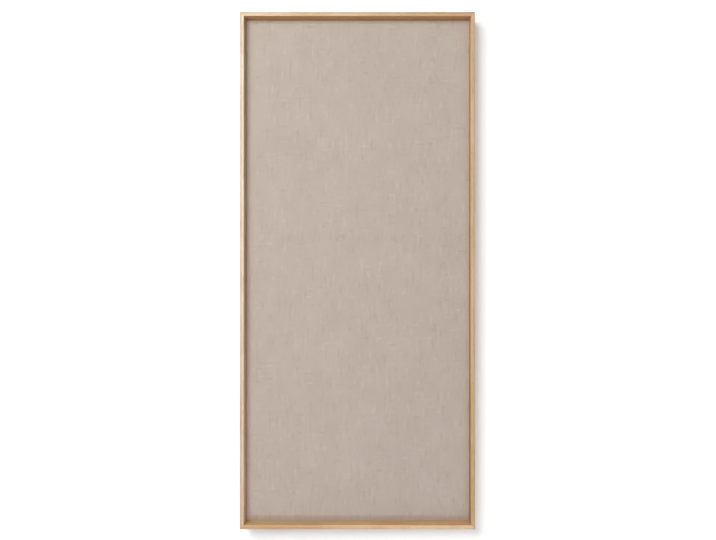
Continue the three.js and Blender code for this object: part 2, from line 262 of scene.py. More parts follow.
def added(tree, value, *others):
    """A value with others added to it, each of them times its own share."""
    for other, share in others:
        value = maths(tree, "ADD", value, times(tree, other, share))
    return value


def centred(tree, value):
    """A value from 0 to 1, moved to lie from -0.5 to 0.5."""
    return maths(tree, "SUBTRACT", value, 0.5)


def vector_maths(tree, operation, *terms):
    """The outputs of one sum on vectors. A vector comes first, and a number under "Value"."""
    sockets = dict(enumerate(terms))
    return put(tree, "ShaderNodeVectorMath", sockets, operation=operation).outputs


def stretched(tree, vector, scale):
    """A vector scaled on each axis."""
    return vector_maths(tree, "MULTIPLY", vector, scale)[0]


def parts_of(tree, vector):
    """The X, Y and Z of a vector."""
    return put(tree, "ShaderNodeSeparateXYZ", {0: vector}).outputs


def joined(tree, x, y=0.0, z=0.0):
    """A vector of three values."""
    return put(tree, "ShaderNodeCombineXYZ", {0: x, 1: y, 2: z}).outputs[0]


def ranged(tree, value, low, high, new_low=0.0, new_high=1.0, smooth=False):
    """A value moved from one range to another, and held within it."""
    sockets = {
        "Value": value,
        "From Min": low,
        "From Max": high,
        "To Min": new_low,
        "To Max": new_high,
    }
    kind = "SMOOTHSTEP" if smooth else "LINEAR"
    return put(tree, "ShaderNodeMapRange", sockets, interpolation_type=kind).outputs["Result"]


def clouds(tree, vector, scale=1.0, detail=2.0, roughness=0.5, distortion=0.0):
    """Smooth noise from 0 to 1, with one cloud for each unit of the vector at scale 1."""
    sockets = {
        "Vector": vector,
        "Scale": scale,
        "Detail": detail,
        "Roughness": roughness,
        "Distortion": distortion,
    }
    return put(tree, "ShaderNodeTexNoise", sockets).outputs["Fac"]


def spread(tree, cloud, low=0.0, high=1.0):
    """Smooth noise, drawn out so that its usual values fill a range."""
    return ranged(tree, cloud, *USUAL_NOISE, low, high)


def opaque(*colours):
    """Colours of three values as the shader takes them, with a fourth for full cover."""
    return [(*each, 1.0) for each in colours]


def linear(*levels):
    """A colour as the eye sees it, from 0 to 255, as the shader takes it."""
    return (*((level / 255) ** DISPLAY_GAMMA for level in levels), 1.0)


def dimmed(colour_there, share):
    """A share of a colour."""
    return (*(share * value for value in colour_there[:3]), 1.0)


def blended(tree, share, first, second, blend="MIX"):
    """Two colours mixed by a share."""
    sockets = {0: share, 6: first, 7: second}
    return put(tree, "ShaderNodeMix", sockets, data_type="RGBA", blend_type=blend).outputs[2]


def effect(name, inputs, outputs):
    """A node group with named sockets. Gives the group, its inputs and what sets its outputs."""
    group = bpy.data.node_groups.new(name, "ShaderNodeTree")
    for label, kind, default in inputs:
        socket = group.interface.new_socket(name=label, in_out="INPUT", socket_type=kind)
        if default is not None:
            socket.default_value = default
    for label, kind in outputs:
        group.interface.new_socket(name=label, in_out="OUTPUT", socket_type=kind)
    entry = group.nodes.new("NodeGroupInput")
    leave = group.nodes.new("NodeGroupOutput")

    def give(label, value):
        group.links.new(value, leave.inputs[label])

    return group, entry.outputs, give


def placed(tree, name, sockets):
    """A node group, placed in a material with its own values. Gives its outputs."""
    group = bpy.data.node_groups[name]
    return put(tree, "ShaderNodeGroup", sockets, node_tree=group).outputs


def make_oak_grain():
    """Straight oak grain along X: rings, pores, ray flecks and slow changes of tone."""
    group, given, give = effect(
        "Oak grain",
        [
            ("Vector", VECTOR, None),
            ("Pale", COLOUR, (0.8, 0.6, 0.4, 1)),
            ("Deep", COLOUR, (0.6, 0.4, 0.2, 1)),
            ("Pore", COLOUR, (0.2, 0.1, 0.05, 1)),
            ("Ring width", NUMBER, 0.003),
            ("Pore length", NUMBER, 0.01),
        ],
        [("Color", COLOUR), ("Roughness", NUMBER), ("Height", NUMBER)],
    )
    vector = given["Vector"]
    part = parts_of(group, vector)

    def pattern(along, across, **kind):
        """Smooth noise that repeats so often per metre along the grain and across it."""
        return clouds(group, stretched(group, vector, (along, across, across)), **kind)

    warp = pattern(3.0, 26.0)
    drift = pattern(1.1, 6.0, detail=1.0)
    fibre = pattern(14.0, 1900.0, detail=3.0, roughness=0.6)
    streak = pattern(5.0, 420.0, detail=3.0, roughness=0.55)
    tone = pattern(11.0, 70.0, detail=5.0, roughness=0.72)

    # The growth rings lie slanting in the plank and wander. Each darkens slowly to its latewood
    # and ends at once.
    slant, wander, stray, latest = 0.72, 1.4, 4.0, 0.95
    across = maths(group, "ADD", times(group, part["Y"], slant), part["Z"])
    across = times(group, across, maths(group, "DIVIDE", 1.0, given["Ring width"]))
    in_ring = maths(group, "FRACT", added(group, across, (warp, wander), (drift, stray)))
    late = ranged(group, in_ring, 0.25, latest, smooth=True)
    ring = times(group, late, ranged(group, in_ring, latest, 1.0, 1.0, 0.0))

    # Open pores lie along the grain, most of them in the earlywood.
    pores_per_metre = 3800.0
    pore_place = joined(
        group,
        maths(group, "DIVIDE", part["X"], given["Pore length"]),
        times(group, part["Y"], pores_per_metre),
        times(group, part["Z"], pores_per_metre),
    )
    pores = clouds(group, pore_place, detail=1.0, roughness=0.4)
    open_pore = ranged(group, pores, 0.58, 0.68, smooth=True)
    open_pore = times(group, open_pore, ranged(group, in_ring, 0.0, 0.6, 1.0, 0.25))

    # Ray flecks are short and pale, and lie flat in the plank.
    fleck_place = stretched(group, vector, (70.0, 240.0, 700.0))
    flecks = ranged(group, clouds(group, fleck_place, detail=0.0), 0.66, 0.76, smooth=True)

    depth = added(
        group,
        times(group, ring, 0.55),
        (spread(group, streak), 0.34),
        (spread(group, tone, -0.5, 0.5), 1.0),
        (spread(group, fibre, -0.5, 0.5), 0.3),
    )
    held = put(group, "ShaderNodeClamp", {"Value": depth}).outputs[0]
    shade = blended(group, held, given["Pale"], given["Deep"])
    shade = blended(group, times(group, flecks, 0.35), shade, given["Pale"])
    shade = blended(group, times(group, open_pore, 0.5), shade, given["Pore"])
    give("Color", shade)
    give("Roughness", added(group, 0.42, (fibre, 0.14), (open_pore, 0.2)))
    give("Height", added(group, times(group, fibre, 0.35), (open_pore, -0.65), (ring, -0.12)))


def make_edge_wear():
    """A mask that is 1 on sharp outer edges, worn unevenly, and 0 on flat faces."""
    group, given, give = effect(
        "Edge wear",
        [("Vector", VECTOR, None), ("Width", NUMBER, 0.001), ("Amount", NUMBER, 1.0)],
        [("Mask", NUMBER), ("Normal", VECTOR)],
    )
    vector = given["Vector"]
    rounded = put(group, "ShaderNodeBevel", {"Radius": given["Width"]}, samples=6).outputs[0]
    facing = put(group, "ShaderNodeNewGeometry").outputs["Normal"]
    agree = vector_maths(group, "DOT_PRODUCT", rounded, facing)["Value"]
    # How far the two normals agree on a flat face and on a sharp edge.
    flat, sharp = 0.995, 0.82
    pale_edge = ranged(group, agree, flat, sharp, smooth=True)
    patchy = clouds(group, stretched(group, vector, (90.0, 90.0, 90.0)), detail=3.0)
    worn = times(group, pale_edge, ranged(group, patchy, 0.35, 0.65, 0.35, 1.0))
    give("Mask", times(group, worn, given["Amount"]))
    give("Normal", rounded)


def make_linen_weave():
    """A plain weave in X and Z: threads of their own tone, slubs both ways and neps."""
    group, given, give = effect(
        "Linen weave",
        [
            ("Vector", VECTOR, None),
            ("Pitch", NUMBER, 0.0007),
            ("Slub width", NUMBER, 0.002),
            ("Slub length", NUMBER, 0.012),
            ("Nep spacing", NUMBER, 0.09),
            ("Nep radius", NUMBER, 0.0009),
        ],
        [("Tone", NUMBER), ("Gap", NUMBER), ("Nep", NUMBER), ("Height", NUMBER)],
    )
    vector, pitch = given["Vector"], given["Pitch"]
    part = parts_of(group, vector)

    # The threads bend a little, by this share of a pitch.
    bend = 0.9
    wave = clouds(group, stretched(group, vector, (60.0, 60.0, 60.0)), detail=2.0)
    wave = times(group, centred(group, wave), bend)
    across = maths(group, "ADD", maths(group, "DIVIDE", part["X"], pitch), wave)
    up = maths(group, "SUBTRACT", maths(group, "DIVIDE", part["Z"], pitch), wave)
    column, row = (maths(group, "FLOOR", place) for place in (across, up))
    in_column, in_row = (centred(group, maths(group, "FRACT", place)) for place in (across, up))
    parity = maths(group, "PINGPONG", maths(group, "ADD", column, row), 1.0)

    def arch(value):
        """The rise of a round thread across its width."""
        return maths(group, "COSINE", times(group, value, math.pi))

    def crossing(across_it, along_it):
        """The rise of one thread where it passes over another."""
        return times(group, across_it, added(group, 0.55, (along_it, 0.45)))

    def on_top(warp, weft):
        """The value of whichever thread lies on top."""
        sockets = {0: parity, 2: warp, 3: weft}
        return put(group, "ShaderNodeMix", sockets, data_type="FLOAT").outputs[0]

    def own_tone(thread):
        """A value of its own for each thread."""
        made = put(group, "ShaderNodeTexWhiteNoise", {"W": thread}, noise_dimensions="1D")
        return made.outputs["Value"]

    def slubs(place, rare):
        """Soft strokes, pale and dark, drawn out along one set of threads."""
        noise_there = clouds(group, place, detail=1.0, roughness=0.4)
        pale = ranged(group, noise_there, 0.5 + rare, 0.76, smooth=True)
        dark = ranged(group, noise_there, 0.5 - rare, 0.24, smooth=True)
        return maths(group, "SUBTRACT", pale, dark)

    top = on_top(crossing(arch(in_column), arch(in_row)), crossing(arch(in_row), arch(in_column)))
    own = on_top(own_tone(column), own_tone(maths(group, "ADD", row, 0.5)))
    spun = clouds(group, stretched(group, vector, (900.0, 900.0, 900.0)), detail=2.0)
    patches = clouds(group, stretched(group, vector, (30.0, 30.0, 22.0)), detail=2.0)

    # A slub keeps to whole threads. The two sets lie in different layers of the noise.
    wide = maths(group, "DIVIDE", 0.5, given["Slub width"])
    long = maths(group, "DIVIDE", 0.5, given["Slub length"])
    thread_x, thread_z = (times(group, thread, pitch) for thread in (column, row))
    upright_x, upright_z = times(group, thread_x, wide), times(group, part["Z"], long)
    level_x, level_z = times(group, part["X"], long), times(group, thread_z, wide)
    upright = slubs(joined(group, upright_x, 3.0, upright_z), rare=0.1)
    level = slubs(joined(group, level_x, 9.0, level_z), rare=0.14)
    slub = on_top(upright, level)

    tone = added(
        group,
        0.5,
        (centred(group, own), 0.07),
        (centred(group, spun), 0.12),
        (centred(group, patches), 0.42),
        (slub, 0.6),
    )
    give("Tone", tone)
    # The gap mask marks where painted shade between the threads goes.
    give("Gap", ranged(group, top, 0.0, 0.45, 1.0, 0.0, smooth=True))

    # A nep is a dot near the middle of a cell, with a size of its own.
    spacing = given["Nep spacing"]
    cells = {
        "Vector": joined(group, part["X"], part["Z"]),
        "Scale": maths(group, "DIVIDE", 1.0, spacing),
    }
    knots = put(group, "ShaderNodeTexVoronoi", cells, voronoi_dimensions="2D").outputs
    reach = maths(group, "DIVIDE", given["Nep radius"], spacing)
    own_size = put(group, "ShaderNodeSeparateColor", {0: knots["Color"]}).outputs[0]
    size = times(group, reach, ranged(group, own_size, 0.2, 1.0))
    near = maths(group, "DIVIDE", knots["Distance"], maths(group, "MAXIMUM", size, 0.0001))
    nep = ranged(group, near, 0.5, 1.0, 1.0, 0.0, smooth=True)
    give("Nep", nep)
    give("Height", added(group, top, (slub, 0.5), (nep, 0.8)))


def make_fibre_mottle():
    """Pressed fibres: fine matted strands over soft mottling."""
    group, given, give = effect(
        "Fibre mottle",
        [
            ("Vector", VECTOR, None),
            ("Strand", NUMBER, 0.0006),
            ("Cloud", NUMBER, 0.026),
            ("Speck", NUMBER, 0.0012),
        ],
        [("Mottle", NUMBER), ("Strands", NUMBER), ("Specks", NUMBER), ("Height", NUMBER)],
    )
    vector = given["Vector"]
    per_strand, per_cloud, per_speck = (
        maths(group, "DIVIDE", 1.0, given[size]) for size in ("Strand", "Cloud", "Speck")
    )

    def matted(x_share, z_share, layer):
        """Strands that lie mostly one way, in a layer of their own."""
        place = stretched(group, vector, (x_share, 0.5, z_share))
        place = vector_maths(group, "ADD", place, (0, layer, 0))[0]
        return clouds(group, place, per_strand, distortion=1.2)

    strands = maths(group, "MAXIMUM", matted(1.0, 0.18, 0.0), matted(0.18, 1.0, 0.4))
    mottle = clouds(group, vector, per_cloud, detail=6.0, roughness=0.62)
    specks = clouds(group, vector, per_speck, detail=2.0, distortion=0.8)
    give("Mottle", spread(group, mottle))
    give("Strands", ranged(group, strands, 0.4, 0.75))
    give("Specks", ranged(group, specks, 0.66, 0.74, smooth=True))
    give("Height", added(group, strands, (mottle, 0.3)))


def make_zinc_plating():
    """Bright plating: soft cloudy tone, fine scratches and dulled hollows."""
    group, given, give = effect(
        "Zinc plating",
        [("Vector", VECTOR, None)],
        [("Tone", NUMBER), ("Roughness", NUMBER), ("Height", NUMBER)],
    )
    vector = given["Vector"]
    cloudy = clouds(group, stretched(group, vector, (420.0, 420.0, 420.0)), detail=2.0)
    scratches = clouds(group, stretched(group, vector, (9000.0, 9000.0, 420.0)), detail=1.0)
    thin = ranged(group, scratches, 0.62, 0.7, smooth=True)
    give("Tone", spread(group, cloudy))
    give("Roughness", added(group, spread(group, cloudy, 0.2, 0.28), (thin, 0.12)))
    give("Height", added(group, cloudy, (thin, -0.5)))


def object_place(tree):
    """Where a point lies in the board's own frame."""
    return put(tree, "ShaderNodeTexCoord").outputs["Object"]


def new_material(name):
    """An empty material. Gives it with its tree, its shader and where a point lies."""
    material = bpy.data.materials.new(name)
    material.use_nodes = True
    tree = material.node_tree
    return material, tree, tree.nodes["Principled BSDF"], object_place(tree)


def raise_by(tree, shader, height, distance, strength=1.0, normal=None):
    """Links a height to a shader as a bump of a real depth, on a rounded normal if given."""
    sockets = {"Height": height, "Distance": distance, "Strength": strength}
    if normal:
        sockets["Normal"] = normal
    fill_in(tree, shader, {"Normal": put(tree, "ShaderNodeBump", sockets).outputs[0]})


# How each member was cut: the way its grain runs and where in the plank, and the way that its
# inner face looks. Then the tones of its front and of its inner face, from the left or the bottom
# end to the other, and the tone towards its outer edge, all against the colours of the settings.
# These tones are partly the oak's own and partly painted light and shade: the fronts of the top
# rail and the left stile are painted brighter towards the upper left corner, and the inner faces
# carry painted shade, darkest on the top rail, which faces down.
OAK_CUTS = {
    "top_rail": {
        "turn": (0, 0, 0), "shift": (0.3, 0.021, 0.0), "inward": (0, 0, -1),
        "front": ((0.98, 1.0, 1.05), (0.72, 0.6, 0.49)),
        "inner": ((0.65, 0.505, 0.365), (0.67, 0.49, 0.33)),
        "rim": (0.78, 0.78, 0.76),
    },
    "right_stile": {
        "turn": (0, 90, 0), "shift": (1.9, 0.047, 0.4), "inward": (-1, 0, 0),
        "front": ((0.74, 0.67, 0.58), (0.76, 0.72, 0.64)),
        "inner": ((0.58, 0.47, 0.33), (0.84, 0.77, 0.67)),
        "rim": (0.9, 0.92, 0.95),
    },
    "bottom_rail": {
        "turn": (0, 0, 0), "shift": (3.1, 0.083, 0.9), "inward": (0, 0, 1),
        "front": ((0.79, 0.69, 0.56), (1.02, 0.99, 0.96)),
        "inner": ((0.88, 0.84, 0.7), (0.885, 0.72, 0.55)),
        "rim": (0.78, 0.84, 0.92),
    },
    "left_stile": {
        "turn": (0, 90, 0), "shift": (4.7, 0.012, 1.6), "inward": (1, 0, 0),
        "front": ((0.92, 0.86, 0.87), (1.04, 1.14, 1.25)),
        "inner": ((1.02, 0.96, 0.97), (0.74, 0.75, 0.69)),
        "rim": (0.72, 0.71, 0.71),
    },
}


def oak_material(member):
    """Satin oak with its grain along one member of the frame."""
    oak = settings().oak
    cut = OAK_CUTS[member]
    material, tree, shader, place = new_material(f"Oak {member.replace('_', ' ')}")
    turn = [math.radians(angle) for angle in cut["turn"]]
    mapped = {"Vector": place, "Location": cut["shift"], "Rotation": turn}
    turned = put(tree, "ShaderNodeMapping", mapped).outputs[0]
    pale, deep, pore = opaque(oak.pale, oak.deep, oak.pore)
    grain = placed(
        tree,
        "Oak grain",
        {
            "Vector": turned,
            "Pale": pale,
            "Deep": deep,
            "Pore": pore,
            "Ring width": oak.ring_width,
            "Pore length": oak.pore_length,
        },
    )
    part = parts_of(tree, place)
    across, along = (0, 2) if cut["inward"][0] else (2, 0)
    half = CAD_BOX[1]
    drift = ranged(tree, part[along], -half[along], half[along])
    # The front and inner tones blended here hold painted light and shade as well as the oak's own
    # tone.
    front = blended(tree, drift, *opaque(*cut["front"]))
    inner = blended(tree, drift, *opaque(*cut["inner"]))
    facing = put(tree, "ShaderNodeNewGeometry").outputs["True Normal"]
    inward = vector_maths(tree, "DOT_PRODUCT", facing, cut["inward"])["Value"]
    tone_and_painted_light = blended(tree, ranged(tree, inward, 0.5, 0.9), front, inner)
    grain_and_painted_light = blended(tree, 1.0, grain["Color"], tone_and_painted_light, blend="MULTIPLY")
    # Painted darker towards the outer edge, by a share set for each member.
    off_middle = maths(tree, "ABSOLUTE", part[across])
    rim = ranged(tree, off_middle, half[across] - oak.rim_width, half[across])
    grain_and_painted_light = blended(tree, rim, grain_and_painted_light, *opaque(cut["rim"]), blend="MULTIPLY")
    # Worn edges turn pale. Kept off the outer edge, this also lightens the inner arris: partly wear
    # and partly a painted highlight where the arris lies in shade.
    worn = placed(tree, "Edge wear", {"Vector": place, "Width": oak.wear_width, "Amount": 0.6})
    pale_edge = times(tree, worn["Mask"], maths(tree, "SUBTRACT", 1.0, rim))
    shade = blended(tree, pale_edge, grain_and_painted_light, pale)
    finish = {"Base Color": shade, "Roughness": grain["Roughness"], "Specular IOR Level": 0.4}
    fill_in(tree, shader, finish)
    raise_by(tree, shader, grain["Height"], oak.relief, normal=worn["Normal"])
    return material


def linen_material():
    """Natural linen in a plain weave with slubs, rounder in its shading at the bottom rail."""
    linen = settings().linen
    material, tree, shader, place = new_material("Natural linen")
    weave = placed(
        tree,
        "Linen weave",
        {
            "Vector": place,
            "Pitch": linen.thread_pitch,
            "Slub width": linen.slub_width,
            "Slub length": linen.slub_length,
            "Nep spacing": linen.nep_spacing,
            "Nep radius": linen.nep_radius,
        },
    )
    pale, deep, nep = opaque(linen.pale, linen.deep, linen.nep)
    tone = put(tree, "ShaderNodeClamp", {"Value": weave["Tone"]}).outputs[0]
    shade = blended(tree, tone, deep, pale)
    # Painted shade: the gaps between the threads are darkened towards a dim copy of the deep
    # colour.
    shade = blended(tree, times(tree, weave["Gap"], 0.4), shade, dimmed(deep, 0.45))
    shade = blended(tree, times(tree, weave["Nep"], 0.8), shade, nep)
    finish = {
        "Base Color": shade,
        "Roughness": 0.9,
        "Specular IOR Level": 0.2,
        "Sheen Weight": 0.12,
        "Sheen Roughness": 0.5,
    }
    fill_in(tree, shader, finish)
    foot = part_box("linen_cover")[0].z
    up = parts_of(tree, place)["Z"]
    level = ranged(tree, up, foot, foot + linen.soft_edge, smooth=True)
    fall = {"Height": level, "Distance": linen.foot_fall}
    rounded = put(tree, "ShaderNodeBump", fall).outputs[0]
    raise_by(tree, shader, weave["Height"], linen.relief, strength=0.8, normal=rounded)
    return material


def fibre_material(name, pale, deep, strand, roughness, relief, clouded=0.6, specked=0.0):
    """Pressed fibre between two colours: softboard, hardboard or felt."""
    material, tree, shader, place = new_material(name)
    fibre = placed(tree, "Fibre mottle", {"Vector": place, "Strand": strand})
    tone = added(tree, 0.5, (centred(tree, fibre["Mottle"]), clouded))
    shade = blended(tree, tone, deep, pale)
    shade = blended(tree, times(tree, fibre["Strands"], 0.4), shade, pale)
    bark = dimmed(deep, 0.35)
    shade = blended(tree, times(tree, fibre["Specks"], specked), shade, bark)
    roughest = min(1.0, roughness + 0.12)
    rough = ranged(tree, fibre["Mottle"], 0.0, 1.0, roughness, roughest)
    finish = {"Base Color": shade, "Roughness": rough, "Specular IOR Level": 0.25}
    fill_in(tree, shader, finish)
    raise_by(tree, shader, fibre["Height"], relief)
    return material


def zinc_material():
    """Bright zinc-plated steel."""
    material, tree, shader, place = new_material("Zinc plate")
    plating = placed(tree, "Zinc plating", {"Vector": place})
    worn = placed(tree, "Edge wear", {"Vector": place, "Width": 0.0003, "Amount": 0.6})
    dull, bright, pale_edge = linear(190, 194, 199), linear(206, 209, 212), linear(232, 232, 230)
    shade = blended(tree, plating["Tone"], dull, bright)
    shade = blended(tree, worn["Mask"], shade, pale_edge)
    finish = {"Base Color": shade, "Roughness": plating["Roughness"], "Metallic": 1.0}
    fill_in(tree, shader, finish)
    raise_by(tree, shader, plating["Height"], distance=0.00001, strength=0.3, normal=worn["Normal"])
    return material


def make_effects():
    """Builds every shared effect once."""
    make_oak_grain()
    make_edge_wear()
    make_linen_weave()
    make_fibre_mottle()
    make_zinc_plating()


def dress(node, material):
    """Gives a CAD node its finish."""
    target = frame["nodes"][node]
    target.data.materials.clear()
    target.data.materials.append(material)


def new_object(name, data):
    """An object of its own in the scene."""
    made = bpy.data.objects.new(name, data)
    bpy.context.scene.collection.objects.link(made)
    return made


def smooth_mesh(name, made):
    """A smoothly shaded mesh of what was made, which ends the making."""
    mesh = bpy.data.meshes.new(name)
    made.to_mesh(mesh)
    made.free()
    for polygon in mesh.polygons:
        polygon.use_smooth = True
    return mesh


def nodes_named(start):
    """The CAD nodes whose names start alike."""
    return sorted(name for name in frame["nodes"] if name.startswith(start))


# Stage

WHITE = (1.0, 1.0, 1.0, 1.0)
WALL_PAINT = (0.93, 0.93, 0.93, 1.0)

# Where each lamp stands, from the board's middle, and how wide it is. The wash casts the shadow on
# the wall, and the fill thins it towards the lower right corner.
LAMPS = {
    "key": ((-0.815, -2.037, 0.693), 2.15),
    "wash": ((-0.6, -1.15, 0.75), 1.05),
    "fill": ((0.5, -0.5, -0.9), 0.5),
    "back": ((1.239, 2.252, 1.126), 2.0),
}


def softbox(name, level, lights=(), spares=(), even=False):
    """A square lamp that faces the board, at a level where 1 shows colours as they are written.

    It lights the given objects alone, or everything but those that it spares. An even lamp doesn't
    weaken with distance, so a near one lights a whole wall alike.
    """
    place, size = LAMPS[name]
    lamp = bpy.data.lights.new(name, "AREA")
    lamp.shape = "SQUARE"
    lamp.size = size
    distance = Vector(place).length
    facing = abs(place[1]) / distance
    # At this power a white surface that faces -Y sends back a radiance of 1.
    lamp.energy = level * math.pi**2 * distance**2 / facing
    if even:
        lamp.use_nodes = True
        tree = lamp.node_tree
        falloff = put(tree, "ShaderNodeLightFalloff", {"Strength": 1 / distance**2})
        fill_in(tree, tree.nodes["Emission"], {"Strength": falloff.outputs["Constant"]})
    holder = new_object(name, lamp)
    holder.location = place
    holder.rotation_euler = (-holder.location).to_track_quat("-Z", "Y").to_euler()
    if lights or spares:
        linked = bpy.data.collections.new(f"{name} links")
        holder.light_linking.receiver_collection = linked
        for target in (*lights, *spares):
            linked.objects.link(target)
        for entry, target in zip(linked.collection_objects, linked.objects):
            entry.light_linking.link_state = "EXCLUDE" if target in spares else "INCLUDE"


def stage_plane(name, corners, material):
    """A flat piece of the stage."""
    mesh = bpy.data.meshes.new(name)
    mesh.from_pydata(corners, [], [(0, 1, 2, 3)])
    mesh.materials.append(material)
    plane = new_object(name, mesh)
    return plane


def background_ray(tree, path):
    """1 where the camera, metal or glass looks, and 0 for the light that falls on the board."""
    seen = maths(tree, "MAXIMUM", path["Is Camera Ray"], path["Is Glossy Ray"])
    return maths(tree, "MAXIMUM", seen, path["Is Transmission Ray"])


def white_paint(name, glow, far_glow):
    """White paint that keeps its shadows near the board and turns plain white away from it.

    From behind, and for shadows, it isn't there.
    """
    stage = settings().stage
    material = bpy.data.materials.new(name)
    material.use_nodes = True
    tree = material.node_tree
    tree.nodes.clear()
    paint = put(tree, "ShaderNodeBsdfDiffuse", {"Color": WALL_PAINT}).outputs[0]
    white = put(tree, "ShaderNodeEmission", {"Color": WHITE, "Strength": 1.0}).outputs[0]
    path = put(tree, "ShaderNodeLightPath").outputs
    away = vector_maths(tree, "LENGTH", object_place(tree))["Value"]
    own = ranged(tree, away, stage.plain_from, stage.plain_at, glow, far_glow, smooth=True)
    share = times(tree, background_ray(tree, path), own)
    front = put(tree, "ShaderNodeMixShader", {0: share, 1: paint, 2: white}).outputs[0]
    behind = put(tree, "ShaderNodeNewGeometry").outputs["Backfacing"]
    gone = maths(tree, "MAXIMUM", behind, path["Is Shadow Ray"])
    clear = put(tree, "ShaderNodeBsdfTransparent").outputs[0]
    both = put(tree, "ShaderNodeMixShader", {0: gone, 1: front, 2: clear}).outputs[0]
    put(tree, "ShaderNodeOutputMaterial", {"Surface": both})
    return material


def white_world(strength):
    """Even light from all round, which the camera and metal see as white."""
    world = bpy.data.worlds.new("White room")
    world.use_nodes = True
    tree = world.node_tree
    seen = background_ray(tree, put(tree, "ShaderNodeLightPath").outputs)
    sockets = {0: seen, 2: strength, 3: 1.0}
    level = put(tree, "ShaderNodeMix", sockets, data_type="FLOAT").outputs[0]
    fill_in(tree, tree.nodes["Background"], {"Color": WHITE, "Strength": level})
    bpy.context.scene.world = world


class PINBOARD_OT_stage(bpy.types.Operator):
    """Makes the camera, the wall, the floor and the lamps"""

    bl_idname = "pinboard.stage"
    bl_label = "Stage"

    def execute(self, context):
        stage = settings().stage
        low, high = CAD_BOX
        self.place_camera(context, stage, low, high)
        floor_z = low.z - stage.floor_drop
        wall_y = high.y + stage.wall_gap
        reach = stage.reach
        upright = [(-reach, floor_z), (reach, floor_z), (reach, reach), (-reach, reach)]
        level = [(-reach, -reach), (reach, -reach), (reach, reach), (-reach, reach)]
        wall_paint = white_paint("White wall", stage.glow, 1.0)
        floor_paint = white_paint("White floor", stage.floor_glow, stage.floor_glow)
        wall = stage_plane("wall", [(x, wall_y, z) for x, z in upright], wall_paint)
        floor = stage_plane("floor", [(x, y, floor_z) for x, y in level], floor_paint)
        softbox("key", stage.key, spares=(wall,))
        softbox("wash", stage.wash, lights=(wall,), even=True)
        softbox("fill", stage.fill, lights=(wall,))
        softbox("back", stage.back, spares=(wall, floor))
        white_world(stage.ambient)
        context.scene.view_settings.view_transform = "Standard"
        return {"FINISHED"}

    def place_camera(self, context, stage, low, high):
        """Stands the camera where the photograph was taken: square on, a little right and up."""
        per_px = (high.x - low.x) / (BOARD_RIGHT_PX - BOARD_LEFT_PX)
        right_px = FACED_X_PX - (BOARD_LEFT_PX + BOARD_RIGHT_PX) / 2
        up_px = (BOARD_TOP_PX + BOARD_BOTTOM_PX) / 2 - FACED_Y_PX
        camera = bpy.data.cameras.new("camera")
        camera.sensor_fit = "HORIZONTAL"
        camera.sensor_width = stage.sensor * MM_PER_M
        camera.lens = camera.sensor_width * stage.distance / (PHOTO_WIDTH_PX * per_px)
        camera.shift_x = -(FACED_X_PX - PHOTO_WIDTH_PX / 2) / PHOTO_WIDTH_PX
        camera.shift_y = -(PHOTO_HEIGHT_PX / 2 - FACED_Y_PX) / PHOTO_WIDTH_PX
        camera.clip_start = 0.01
        holder = new_object("camera", camera)
        centre = (low + high) / 2
        x, z = centre.x + right_px * per_px, centre.z + up_px * per_px
        holder.location = (x, low.y - stage.distance, z)
        holder.rotation_euler = (math.pi / 2, 0, 0)
        context.scene.camera = holder


# Linen

# Where the lines of the mesh lie over the rounded edge and over the soft edge, as shares of each.
ROUNDED_SHARES = (0.0, 0.06, 0.2, 0.42, 0.72)
SOFT_SHARES = (0.0, 0.09, 0.2, 0.34, 0.52, 0.74, 1.0)

# How many rows of faces the cloth has round the pad's sides, over the bend and over the hem.
SIDE_ROWS = 3
BEND_ROWS = 3
HEM_ROWS = 6

# The stretched cloth lies flat at its edge and is free to lift from this far inside it. It lifts in
# slow and in quick waves: how often they repeat per metre, where they are cut from the noise, and
# how much each counts beside the even part.
FREE_FROM = 0.02
WAVES = ((9, 0.3, 0.38), (38, 4.1, 0.12))
EVEN_LIFT = 0.5


def graded(half, edge_radius, soft_edge, cell):
    """Places from -half to half: fine over the rounded and the soft edge, then a cell apart."""
    near = [share * edge_radius for share in ROUNDED_SHARES]
    near += [edge_radius + share * (soft_edge - edge_radius) for share in SOFT_SHARES]
    count = max(2, round(2 * (half - near[-1]) / cell))
    middle = np.linspace(near[-1] - half, half - near[-1], count + 1)
    left = [place - half for place in near[:-1]]
    return np.array([*left, *middle, *[-place for place in reversed(left)]])


def rounded_corner(x, z, half_x, half_z, radius):
    """Moves a point of a rectangle's corner square into the quarter disc that rounds the corner."""
    u, v = (abs(x) - half_x) / radius + 1, (abs(z) - half_z) / radius + 1
    if min(u, v) <= 0:
        return x, z
    turn = (math.pi / 4) * min(u, v) / max(u, v)
    long, short = max(u, v) * math.cos(turn), max(u, v) * math.sin(turn)
    u, v = (long, short) if u >= v else (short, long)
    return math.copysign(half_x + (u - 1) * radius, x), math.copysign(half_z + (v - 1) * radius, z)


def from_outline(x, z, half_x, half_z, radius):
    """How far inside the rounded outline a point lies."""
    dx, dz = half_x - abs(x), half_z - abs(z)
    if dx < radius and dz < radius:
        return radius - math.hypot(radius - dx, radius - dz)
    return min(dx, dz)


def padded_fall(inside, linen):
    """How far the front lies behind its own level, for a distance from the pad's outline.

    The soft edge is a parabola. The rounded edge is an arc that meets it without a kink.
    """
    radius, width, fall = linen.edge_radius, linen.soft_edge, linen.soft_fall

    def soft(place):
        return fall * max(0.0, 1 - place / width) ** 2

    slope = math.atan(2 * fall / width * (1 - radius / width))
    meeting = radius * (1 - math.sin(slope))
    if inside >= meeting:
        return soft(inside)
    centre = soft(meeting) + radius * math.cos(slope)
    return centre - math.sqrt(max(0.0, radius**2 - (radius - max(0.0, inside)) ** 2))


